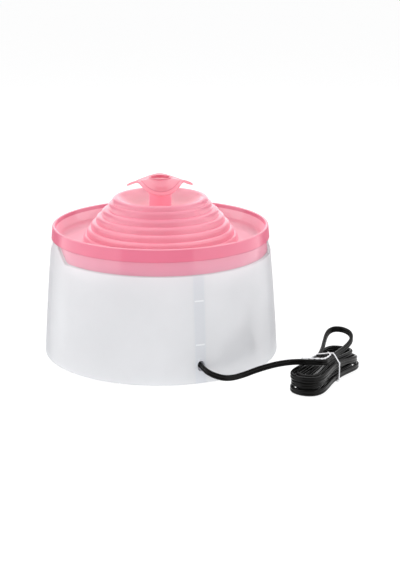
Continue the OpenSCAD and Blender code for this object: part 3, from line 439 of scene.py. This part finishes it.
# The strain relief's four rings, the shoulder, the grip's five ribs and the rounded front
relief_start, relief_pitch = 0.9, 1.55
grip_start, grip_pitch = 9.4, 1.4
plug_outline = [(0, 0), (2.6, 0), (2.95, 0.4)]
for k in range(4):
    z = relief_start + k * relief_pitch
    plug_outline += [(3.25, z), (3.25, z + 0.7), (2.75, z + 0.85), (2.75, z + 1.4)]
plug_outline += [(3.4, 7.3), (3.9, 8.1), (4.35, 8.8)]
for k in range(5):
    z = grip_start + k * grip_pitch
    plug_outline += [(4.55, z), (4.55, z + 0.75), (4.28, z + 0.9), (4.28, z + 1.25)]
plug_outline += [(4.55, 16.6), (4.5, 17.2), (4.1, 17.8), (3.5, 18), (0, 18)]
plug = spun("plug_moulding", plug_outline, around=40, close=False)
lay_on_plug(plug)
moulding = Finish("plug_moulding")
moulding.mottle(srgb(20, 20, 21), srgb(36, 36, 37), 120)
moulding.roughen(0.38, 0.55, 900)
moulding.bump(moulding.noise(2500, 2), distance=0.00008, strength=0.5)
moulding.dress(plug, nodes["plug_insulator"])
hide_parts("plug_body")
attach(plug, "base")

plating = Finish("nickel_plating")
plating.set(Metallic=1.0, Base_Color=srgb(205, 205, 208))
plating.roughen(0.12, 0.28, 500, 4, 0.6, (1, 1, 6))
plating.bump(plating.noise(1800, 2, 0.5, (1, 1, 8)), distance=0.00002, strength=0.4)
plating.dress(nodes["plug_barrel"])

# ---------------------------------------------------------------- tie
# A twist tie of soft wire in a thin white plastic strip, wrapped once round
# the hank's waist, its two ends twisted together along the free cord.
def waist_point(s, across, up):
    """Point on the cord's skin at the waist, after s loops; across and up go from -1 to 1."""
    v = -math.sin(hank_angle(s)) * (hank_b - hank_waist - hank_inset(s))
    z = hank_height(s) + tie_lift + hank_arch * hank_rise(s)
    return Vector((v + across * cord_t / 2, z + up * cord_w / 2))


# The wire bends at these corners of the stack, two points of it at each
corners = [waist_point(*p) for p in (
    (1 / 12, 0, -1), (1 / 12, 1, -0.5), (3 + 1 / 12, 1, 0.5), (5 + 1 / 12, 1, 0.5),
    (5 + 1 / 12, 0, 1), (4 + 7 / 12, 0, 1), (4 + 7 / 12, -1, 0.5), (3 + 7 / 12, -1, 0.5),
    (2 + 7 / 12, -1, 0.5), (2 + 7 / 12, -1, -0.5), (7 / 12, -1, -0.5), (7 / 12, 0, -1))]
tie_gap = 0.2
wrap = []
for i, c in enumerate(corners):
    for d in (c - corners[i - 1], corners[(i + 1) % len(corners)] - c):
        wrap.append(c + (tie_r + tie_gap) * Vector((d.y, -d.x)) / d.length)
loop = [hank_plan(0, -p.x, p.y) for p in wrap]
# The ends leave from the corner on top of the last loop, where the free stretch comes in
top_corner = 4
top = wrap[2 * top_corner + 1]
tail_z = free_z + cord_w / 2 + tie_gap + tie_r
ahead = Vector((math.cos(hank_turn), math.sin(hank_turn), 0))


def wire(name, line, across, up, out):
    """A flattened wire of half sizes across and up; out(i) gives its outward and side directions."""
    verts, faces = [], []
    m = 10
    closed = (line[0] - line[-1]).length < 1e-6
    for i, p in enumerate(line):
        o, side = out(i)
        for k in range(m):
            a = 2 * math.pi * k / m
            verts.append((p + side * across * math.cos(a) + o * up * math.sin(a)) * mm)
    for i in range(len(line) - 1):
        for j in range(m):
            a, b = i * m + j, i * m + (j + 1) % m
            faces.append((a, b, b + m, a + m))
    if not closed:
        faces += [tuple(reversed(range(m))), tuple(range(len(verts) - m, len(verts)))]
    piece = start_piece(name, verts, [], faces)
    bpy.ops.mesh.remove_doubles(threshold=0.000002)
    end_piece(sharp=60)
    return piece


# One point more at each end makes the ring close smoothly, and is cut off again
ring_parts = 3
ring_line = smooth_line([loop[-1]] + loop + loop[:2], ring_parts)[ring_parts:-ring_parts]
centre = sum(loop, Vector()) / len(loop)


def ring_out(i):
    d = (ring_line[(i + 1) % (len(ring_line) - 1)] - ring_line[i - 1]).normalized()
    o = ahead.cross(d).normalized()
    return (o if o.dot(ring_line[i] - centre) > 0 else -o), ahead


tie_ring = wire("tie_loop", ring_line, across=tie_r, up=0.45, out=ring_out)
tail = [hank_plan(0, -top.x + 4, top.y), hank_plan(-4, -top.x, top.y),
        Vector((-92, 137, tail_z)), Vector((-87, 136.5, tail_z)),
        Vector((-80, 133, tail_z)), Vector((-74, 130, tail_z))]
tail_line = smooth_line(tail, parts=10)
# The two ends wind round this line, which follows the free stretch
twist_r, twist_step = 0.32, 0.55


def strand(phase):
    """One of the two ends, and the directions that its wire takes."""
    def out(i):
        d = (tail_line[min(i + 1, len(tail_line) - 1)] - tail_line[max(i - 1, 0)]).normalized()
        side = Vector((-d.y, d.x, 0)).normalized()
        return d.cross(side), side
    line = []
    for i, p in enumerate(tail_line):
        o, side = out(i)
        a = phase + i * twist_step
        line.append(p + twist_r * (side * math.cos(a) + o * math.sin(a)))
    return line, out


strands = []
for k in range(2):
    line, out = strand(k * math.pi)
    strands.append(wire(f"tie_strand_{k}", line, across=0.42, up=0.36, out=out))
bpy.ops.object.select_all(action="DESELECT")
for piece in strands:
    piece.select_set(True)
tie_ring.select_set(True)
bpy.context.view_layer.objects.active = tie_ring
bpy.ops.object.join()
tie_ring.name = "twist_tie"
strip = Finish("tie_strip")
strip.set(Coat_Weight=0.2)
strip.mottle(srgb(214, 214, 218), srgb(238, 238, 240), 300)
strip.roughen(0.28, 0.45, 1500)
strip.bump(strip.noise(1800, 2), distance=0.00006, strength=0.5)
strip.dress(tie_ring)
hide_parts("cord_tie")
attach(tie_ring, "base")

# ---------------------------------------------------------------- pump cord
# The same cord inside the bowl: from the pump's gland up over the duct's
# inner wall, down the duct and out at the hole.
inner_route = [Vector((0, y, z)) for y, z in (
    (43.7, 39.9), (50, 40.9), (56, 44.9), (61, 54), (66, 66), (70, 76), (74.5, 82), (79, 84.2),
    (83, 83.4), (86, 79.5), (87.2, 72), (87.4, 60), (87.4, 48), (87.4, 36), (87.6, 27),
    (89.4, 20.5), (93, 17), (96.4, 16))]
inner_cord = swept("pump_cord_run", smooth_line(inner_route, parts=4), twin_ring, upright=False)
jacket.dress(inner_cord)
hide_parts("pump_cord")
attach(inner_cord, "base")

# ---------------------------------------------------------------- reservoir
# The bowl is one injection moulding in milky white plastic, glossy outside.
# Light passes through its wall, so what touches the wall inside shows.
bowl = nodes["reservoir"]
milk = Finish("milky_plastic")
milk.set(Roughness=0.5, Specular_IOR_Level=0.1)
milk.mottle(srgb(229, 230, 232), srgb(234, 235, 237), 22, 4)
bowl_x, bowl_y, bowl_z = milk.coordinates()
skirt_foot = 0.0892
below_skirt = milk.math("LESS_THAN", bowl_z, skirt_foot)
# The cord's duct stands against the wall inside; its shade through the wall is painted as a faint darker
# strip, darker at its walls and edges
duct_front, edge_x, edge_half = 0.088, 0.0041, 0.0004
off_middle = milk.math("ABSOLUTE", bowl_x)
duct = milk.math("MULTIPLY", milk.math("GREATER_THAN", bowl_y, duct_front), below_skirt)
duct_wall_shade = milk.math("MULTIPLY", duct, milk.between(off_middle, 0.5, 0.0, start=0.0054, end=0.006))
duct_edge_shade = milk.math("MULTIPLY", duct, milk.math("COMPARE", off_middle, edge_x, edge_half))
channel = milk.math("MULTIPLY", duct, milk.between(off_middle, 1.0, 0.0, start=0.0036, end=0.0040))
milk.tint(duct_wall_shade, srgb(228, 229, 232))
milk.tint(channel, srgb(225, 227, 231))
milk.tint(milk.math("MULTIPLY", duct_edge_shade, 0.7), srgb(224, 228, 232))
# Two ribs across its channel are painted as pale ticks, painted light through the wall
rib_half = 0.0006
for rib in (0.0333, 0.069):
    rib_light = milk.math("MULTIPLY", channel, milk.math("COMPARE", bowl_z, rib, rib_half))
    milk.tint(rib_light, srgb(246, 248, 250))
milk.bump(milk.noise(60, 2), distance=0.00012, strength=0.25)
milk.see_through(share=0.4, colour=milk.shade)
# The wall is thinner and clearer along the rim, where the tray's skirt sits, but
# stays milky behind the skirt's two recesses, by which a finger lifts the tray
clear_rim = milk.between(bowl_z, 0.0, 0.82, start=0.0893, end=0.0896)
half_width = milk.between(bowl_z, 0.024, 0.008, start=0.0886, end=0.1)
recess = milk.math("GREATER_THAN", half_width, milk.math("ABSOLUTE", bowl_y))
clear_rim = milk.math("MULTIPLY", clear_rim, milk.math("SUBTRACT", 1.0, recess))
glass = milk.add("ShaderNodeBsdfTransparent")
rim = milk.add("ShaderNodeMixShader")
milk.link(clear_rim, rim.inputs[0])
milk.link(milk.out.inputs["Surface"].links[0].from_socket, rim.inputs[1])
milk.link(glass.outputs[0], rim.inputs[2])
milk.link(rim.outputs[0], milk.out.inputs["Surface"])
# Only the outside is polished
rim_outside = 0.0918
outside = milk.math("MAXIMUM", milk.math("GREATER_THAN", milk.from_axis(), rim_outside), below_skirt)
milk.gloss(rough=0.12, where=milk.math("MULTIPLY", outside, milk.face_on(start=0.52, end=0.75)))
milk.dress(bowl)

# ---------------------------------------------------------------- feet
# Four round feet punched from dark grey rubber sheet. They are pressed into
# their seats under the bowl and keep it from sliding.
sole = Finish("foot_rubber")
sole.set(Roughness=0.8)
sole.mottle(srgb(58, 58, 61), srgb(78, 78, 81), 400)
sole.bump(sole.noise(1500, 3), distance=0.0002, strength=0.6)
sole.dress(nodes["base_feet"])

# ---------------------------------------------------------------- tray
# The drinking tray is moulded in pink plastic that lets a little light
# through. Its skirt drops into the bowl and its rim stands on the bowl's.
def pink_plastic(name, low, high, through, glow):
    """Pink moulding: two close shades, and light that comes through."""
    pink = Finish(name)
    pink.set(Specular_IOR_Level=0.1)
    pink.mottle(low, high, 26, 3)
    pink.roughen(0.34, 0.46, 500, 2)
    pink.bump(pink.noise(70, 2), distance=0.0001, strength=0.25)
    pink.see_through(share=glow, colour=through)
    return pink


tray_pink = pink_plastic("tray_pink", low=srgb(211, 103, 130), high=srgb(215, 111, 138),
                         through=srgb(250, 200, 216), glow=0.4)
tray_z, tray_r = tray_pink.coordinates()[2], tray_pink.from_axis()
trough_wall, skirt_top, band_inside, band_top = 0.0885, 0.1008, 0.0905, 0.1122
inside = tray_pink.math("LESS_THAN", tray_r, trough_wall)
off_skirt = tray_pink.math("MAXIMUM", inside, tray_pink.math("GREATER_THAN", tray_z, skirt_top))
# Painted light: the trough is painted paler for the light bouncing about in it, and the skirt brighter and
# stronger to make up for the rim's shade on it
tray_pink.tint(tray_pink.math("MULTIPLY", inside, 0.95), srgb(250, 208, 217))
tray_pink.colour(tray_pink.mix(off_skirt, srgb(230, 98, 144), tray_pink.shade))
# A paler band along the rim's top edge is a painted highlight
tray_pink.tint(tray_pink.between(tray_z, 0.0, 0.45, start=0.1106, end=0.1112), srgb(255, 214, 222))
# The rim's outer band shines only where it is seen face on, and the skirt not at all
band = tray_pink.math("MULTIPLY", tray_pink.math("GREATER_THAN", tray_r, band_inside),
                      tray_pink.math("LESS_THAN", tray_z, band_top))
off_band = tray_pink.math("SUBTRACT", 1.0, band)
off_edges = tray_pink.math("MAXIMUM", tray_pink.face_on(start=0.6, end=0.68), off_band)
polish = tray_pink.math("MULTIPLY", off_edges, 0.75)
tray_pink.gloss(rough=0.04, where=tray_pink.math("MULTIPLY", off_skirt, polish))
tray_pink.dress(nodes["tray"])

# ---------------------------------------------------------------- filter
# A white slotted basket, with pads of blue-grey foam, black carbon felt and
# white cotton cut to fit it.
basket = Finish("basket_plastic")
basket.mottle(srgb(232, 232, 232), srgb(242, 242, 242), 60)
basket.roughen(0.4, 0.55, 700)
basket.bump(basket.noise(900, 2), distance=0.00006, strength=0.5)
basket.dress(nodes["filter_basket"])


def felt_pad(name, node, low, high, grain, depth):
    """A soft round pad with a hole: rounded edges and a pressed, fibrous face."""
    a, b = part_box(node)
    r, z0, z1 = b.x / mm, a.z / mm, b.z / mm
    inner, edge = 11.1, 1.2
    outline = [(inner + edge * 0.4, z0), (r - edge, z0), (r - 0.3, z0 + edge * 0.5),
               (r, (z0 + z1) / 2), (r - 0.3, z1 - edge * 0.5), (r - edge, z1)]
    waves, wave_depth = 10, 0.12
    outline += [(r - edge - (r - inner - 2 * edge) * k / waves, z1 - wave_depth * (k % 2))
                for k in range(1, waves)]
    outline += [(inner + edge * 0.4, z1), (inner, (z0 + z1) / 2)]
    pad = spun(name, outline, around=96)
    felt = Finish(name)
    felt.set(Roughness=0.95, Sheen_Weight=0.3)
    cells = felt.add("ShaderNodeTexVoronoi")
    cells.inputs["Scale"].default_value = grain
    felt.link(felt.place, cells.inputs["Vector"])
    felt.colour(felt.mix(felt.between(cells.outputs["Distance"], 0, 1, 0.1, 0.6), low, high))
    felt.bump(cells.outputs["Distance"], distance=depth, strength=0.8)
    felt.dress(pad)
    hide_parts(node)
    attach(pad, "filter")
    return pad


foam_pad = felt_pad("foam_pad", "filter_foam", srgb(58, 70, 88), srgb(104, 118, 138), 900, 0.0006)
carbon_pad = felt_pad("carbon_pad", "filter_carbon", srgb(18, 18, 18), srgb(52, 52, 52), 700, 0.0004)
cotton_pad = felt_pad("cotton_pad", "filter_cotton", srgb(224, 224, 218), srgb(246, 246, 242), 500, 0.0005)

# ---------------------------------------------------------------- dome
# The terraced dome and its dish are one pink moulding, a little more peach
# than the tray. Water runs down its rounded steps.
dome_pink = pink_plastic("dome_pink", low=srgb(226, 134, 157), high=srgb(230, 144, 166),
                         through=srgb(250, 218, 226), glow=0.52)
# Light from the trough brightens its lower steps
foot = dome_pink.between(dome_pink.coordinates()[2], 0.7, 0.0, start=0.108, end=0.126)
dome_pink.tint(foot, srgb(252, 170, 188))
dome_pink.gloss(rough=0.2)
dome_pink.dress(nodes["dome"])

# ---------------------------------------------------------------- column
# A plain tube in a deeper pink stands in the dome's dish and carries the
# flower. Its faint glow is painted light, a weak emission standing in for
# the light that its thick wall gathers.
column_pink = pink_plastic("column_pink", low=srgb(255, 170, 190), high=srgb(255, 178, 198),
                           through=srgb(255, 200, 214), glow=0.4)
# The emission is the painted glow
column_pink.set(Emission_Color=srgb(255, 176, 190), Emission_Strength=0.24)
column_pink.gloss(rough=0.1)
column_pink.dress(nodes["spout_column"])

# ---------------------------------------------------------------- flower
# The flower is a thin pink moulding with three drooping petals round a
# raised crown. It is clear enough that the column shows through a petal;
# that darker spot is painted shade.
flower_pink = pink_plastic("flower_pink", low=srgb(219, 122, 144), high=srgb(223, 130, 151),
                           through=srgb(242, 184, 196), glow=0.5)
flower_x, flower_y = flower_pink.coordinates()[:2]
flower_r = flower_pink.from_axis()
# The mouth's funnel is painted darker, as shade in its hollow, and pale light is painted down its bore
funnel_r, bore_r = 0.0079, 0.0064
flower_pink.tint(flower_pink.math("LESS_THAN", flower_r, funnel_r), srgb(216, 96, 122))
flower_pink.tint(flower_pink.math("LESS_THAN", flower_r, bore_r), srgb(255, 222, 228))
# Round the flower, one down each petal's middle; outwards, one at the petals' edge
petals, first_petal = 3, 73.5
around = flower_pink.math("ARCTAN2", flower_y, flower_x)
wave_angle = flower_pink.math("MULTIPLY_ADD", around, petals, -math.radians(petals * first_petal))
petal_wave = flower_pink.math("COSINE", wave_angle)
petal_edge = flower_pink.math("MULTIPLY_ADD", petal_wave, 0.004, 0.026)
reach = flower_pink.math("DIVIDE", flower_r, petal_edge)
# The petals' sides are painted paler, as painted light, and a darker spot down each petal's outer middle
# is painted shade where the column shows through
side_light = flower_pink.between(petal_wave, 0.8, 0.0, start=0.1, end=0.9)
off_crown = flower_pink.between(reach, 0.0, 1.0, start=0.36, end=0.5)
flower_pink.tint(flower_pink.math("MULTIPLY", side_light, off_crown), srgb(236, 164, 180))
middle_shade = flower_pink.between(petal_wave, 0.0, 0.8, start=0.7, end=0.92)
outer_half = flower_pink.between(reach, 0.0, 1.0, start=0.6, end=0.72)
flower_pink.tint(flower_pink.math("MULTIPLY", middle_shade, outer_half), srgb(214, 98, 122))
# A crease runs round inside their edge, painted darker as shade, and the lip beyond it is painted paler,
# as painted light
flower_pink.tint(flower_pink.math("COMPARE", reach, 0.89, 0.022), srgb(206, 98, 124))
flower_pink.tint(flower_pink.between(reach, 0.0, 0.8, start=0.91, end=0.93), srgb(255, 164, 182))
flower_pink.gloss(rough=0.08, where=0.5)
flower_pink.dress(nodes["flower_cap"])

# ---------------------------------------------------------------- riser
# A cut length of clear extruded tube. It is pushed over the pump's nozzle and
# leads the water up into the column.
clear = Finish("clear_tube")
clear.set(Base_Color=srgb(226, 234, 240), Transmission_Weight=0.85, IOR=1.45)
clear.roughen(0.04, 0.12, 400)
clear.bump(clear.noise(120, 2, 0.5, (1, 1, 0.2)), distance=0.0001, strength=0.3)
clear.dress(nodes["riser_tube"])

# ---------------------------------------------------------------- pump
# A small submerged pump: black moulded block filled with resin, steel core
# and copper winding inside, a magnet rotor with a white paddle wheel on a
# ceramic shaft, and a slotted cover with a slider that sets the flow.
case = Finish("pump_case")
case.mottle(srgb(24, 24, 26), srgb(40, 40, 43), 150)
case.roughen(0.42, 0.6, 1100)
case.bump(case.noise(2200, 2), distance=0.00012, strength=0.6)
case.dress(nodes["pump_housing"], nodes["volute_cover"], nodes["intake_cover"])

resin = Finish("potting_resin")
resin.mottle(srgb(14, 14, 15), srgb(26, 26, 28), 60)
resin.roughen(0.12, 0.3, 200)
resin.bump(resin.noise(90, 2), distance=0.0003, strength=0.3)
resin.dress(nodes["pump_potting"])

steel = Finish("core_steel")
steel.set(Metallic=1.0)
leaf = steel.add("ShaderNodeTexWave", wave_type="BANDS", bands_direction="Y")
leaf.inputs["Scale"].default_value = 320
steel.link(steel.place, leaf.inputs["Vector"])
steel.colour(steel.mix(leaf.outputs["Fac"], srgb(120, 122, 126), srgb(170, 172, 176)))
steel.roughen(0.3, 0.5, 900)
steel.bump(leaf.outputs["Fac"], distance=0.0001, strength=0.6)
steel.dress(nodes["stator_core"])

winding = Finish("copper_winding")
winding.set(Metallic=0.9)
turnwave = winding.add("ShaderNodeTexWave", wave_type="BANDS", bands_direction="X")
turnwave.inputs["Scale"].default_value = 700
winding.link(winding.place, turnwave.inputs["Vector"])
winding.colour(winding.mix(turnwave.outputs["Fac"], srgb(150, 78, 34), srgb(214, 128, 70)))
winding.roughen(0.22, 0.36, 800)
winding.bump(turnwave.outputs["Fac"], distance=0.00012, strength=0.8)
winding.dress(nodes["stator_coil"])

magnet = Finish("ferrite")
magnet.set(Metallic=0.3)
magnet.mottle(srgb(70, 70, 74), srgb(104, 104, 110), 800, 4)
magnet.roughen(0.4, 0.6, 600)
magnet.bump(magnet.noise(1600, 3), distance=0.0001, strength=0.5)
magnet.dress(nodes["rotor_magnet"])

wheel = Finish("paddle_plastic")
wheel.mottle(srgb(226, 226, 222), srgb(240, 240, 236), 200)
wheel.roughen(0.34, 0.5, 900)
wheel.bump(wheel.noise(900), distance=0.00006, strength=0.4)
wheel.dress(nodes["impeller"])

ceramic = Finish("shaft_ceramic")
ceramic.mottle(srgb(232, 232, 226), srgb(244, 244, 240), 500)
ceramic.roughen(0.1, 0.22, 1200)
ceramic.dress(nodes["pump_shaft"])

rubber = Finish("black_rubber")
rubber.mottle(srgb(20, 20, 20), srgb(36, 36, 36), 300)
rubber.roughen(0.6, 0.8, 1000)
rubber.bump(rubber.noise(1700), distance=0.0001, strength=0.6)
rubber.dress(nodes["shaft_bushes"], nodes["volute_seal"], nodes["pump_cord_gland"])

silicone = Finish("clear_silicone")
silicone.set(Transmission_Weight=0.5, IOR=1.41)
silicone.mottle(srgb(206, 212, 218), srgb(224, 228, 232), 200)
silicone.roughen(0.3, 0.45, 700)
silicone.bump(silicone.noise(700), distance=0.00008, strength=0.4)
silicone.dress(nodes["suction_cups"])

slider = Finish("slider_plastic")
slider.mottle(srgb(206, 206, 210), srgb(222, 222, 226), 300)
slider.roughen(0.34, 0.5, 900)
slider.bump(slider.noise(1300), distance=0.00006, strength=0.5)
slider.dress(nodes["flow_slide"])

# ---------------------------------------------------------------- studio
# A plain white table, a tall soft panel at each side with a gap for the
# camera, and soft panels behind and overhead.
bpy.ops.object.select_all(action="DESELECT")
bpy.ops.mesh.primitive_plane_add(size=24, location=(0, 0, -0.0004))
floor = bpy.context.active_object
floor.name = "floor"
table = Finish("white_table")
table.set(Specular_IOR_Level=0.1, Base_Color=(0.2, 0.2, 0.2, 1),
          Emission_Color=(1, 1, 1, 1), Emission_Strength=0.9)
table.roughen(0.65, 0.8, 30)
table.dress(floor)

# The panels stand round the fountain as the camera sees it: across, towards the camera, and up
camera_turn = math.radians(18.5)
toward = Vector((math.sin(camera_turn), math.cos(camera_turn), 0))
rightward = Vector((-toward.y, toward.x, 0))


def panel_place(across, along, height):
    return rightward * across + toward * along + Vector((0, 0, height))


def panel(name, at, size, radiance, look, mirrored, lighting):
    """A soft panel; it shows in reflections, or lights what's rough, or both."""
    light = bpy.data.lights.new(name, "AREA")
    light.shape = "RECTANGLE"
    light.size, light.size_y = size
    light.energy = radiance * math.pi * size[0] * size[1]
    lamp = bpy.data.objects.new(name, light)
    bpy.context.scene.collection.objects.link(lamp)
    lamp.location = panel_place(*at)
    lamp.rotation_euler = (look - lamp.location).to_track_quat("-Z", "Y").to_euler()
    lamp.visible_camera = False
    lamp.visible_glossy = mirrored
    lamp.visible_diffuse = lamp.visible_transmission = lighting


middle = Vector((0, 0, 0.08))
panel("left_panel", at=(-0.45, 0.175, 0.375), size=(0.79, 0.7), radiance=1.4,
      look=panel_place(0, 0.175, 0.375), mirrored=True, lighting=False)
panel("right_panel", at=(0.45, 0.2625, 0.375), size=(0.965, 0.7), radiance=1.4,
      look=panel_place(0, 0.2625, 0.375), mirrored=True, lighting=False)
panel("backdrop", at=(0, -1.6, 0.6), size=(1.3, 1.1), radiance=0.95,
      look=panel_place(0, -1, 0.6), mirrored=True, lighting=False)
panel("rear_top", at=(0, -0.9, 1.1), size=(1.3, 0.8), radiance=1.6,
      look=middle, mirrored=True, lighting=False)
panel("front_fill", at=(-0.1, 1.0, 0.6), size=(1.4, 0.9), radiance=1.75,
      look=middle, mirrored=False, lighting=True)
panel("back_fill", at=(0, -0.9, 0.5), size=(1.4, 0.9), radiance=0.9,
      look=middle, mirrored=False, lighting=True)
panel("left_fill", at=(-0.9, 0.05, 0.5), size=(1.2, 0.9), radiance=1.0,
      look=middle, mirrored=False, lighting=True)
panel("right_fill", at=(0.9, 0.05, 0.5), size=(1.2, 0.9), radiance=1.1,
      look=middle, mirrored=False, lighting=True)
panel("top_panel", at=(0, -0.1, 1.1), size=(1.3, 1.3), radiance=1.5,
      look=middle, mirrored=True, lighting=True)

world = bpy.data.worlds.new("studio")
world.use_nodes = True
sky = world.node_tree.nodes["Background"]
sky.inputs["Color"].default_value = (0.9, 0.9, 0.92, 1)
sky.inputs["Strength"].default_value = 0.36
bpy.context.scene.world = world
bpy.context.scene.view_settings.view_transform = "Standard"
